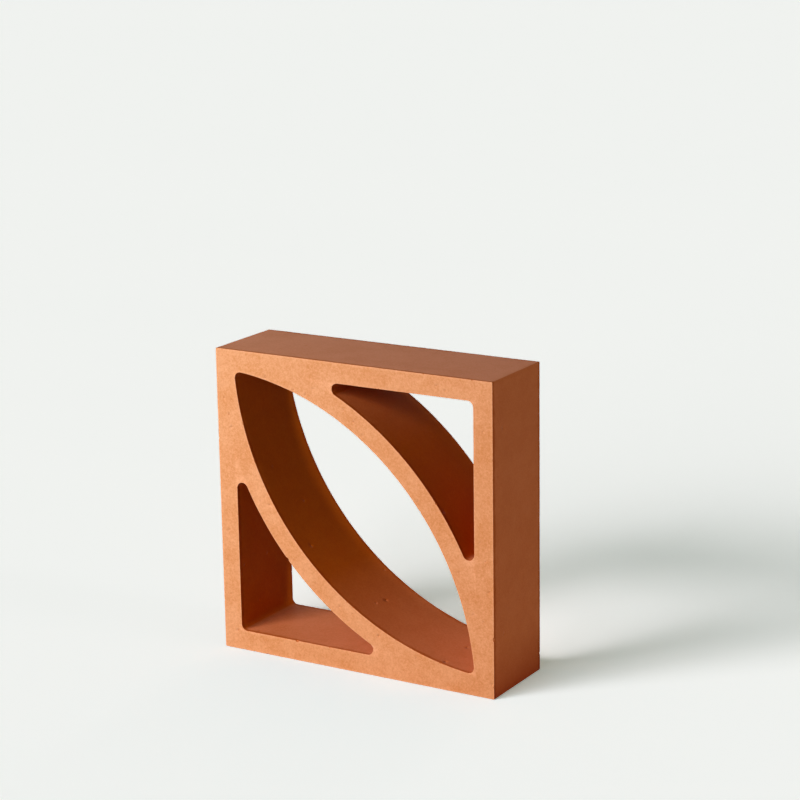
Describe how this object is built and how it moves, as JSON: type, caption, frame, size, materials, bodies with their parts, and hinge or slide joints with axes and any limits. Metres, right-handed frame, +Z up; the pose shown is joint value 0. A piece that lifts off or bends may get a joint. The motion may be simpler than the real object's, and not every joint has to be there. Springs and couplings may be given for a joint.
{
  "type": "breeze block",
  "caption": "Square cast concrete screen block, pierced by a leaf-shaped opening between two curved ribs and by a three-sided opening outside each rib.",
  "frame": {"origin": "centre of the block's foot, midway between its front and back faces", "axes": "+X along the face to the right, +Y from the front face to the back face, +Z up; the leaf-shaped opening runs from the upper left to the lower right as seen from the front"},
  "size_m": [0.3, 0.09, 0.3],
  "materials": {
    "cast_concrete": "matte"
  },
  "bodies": {
    "root": {"block": "cast_concrete"}
  },
  "joints": []
}
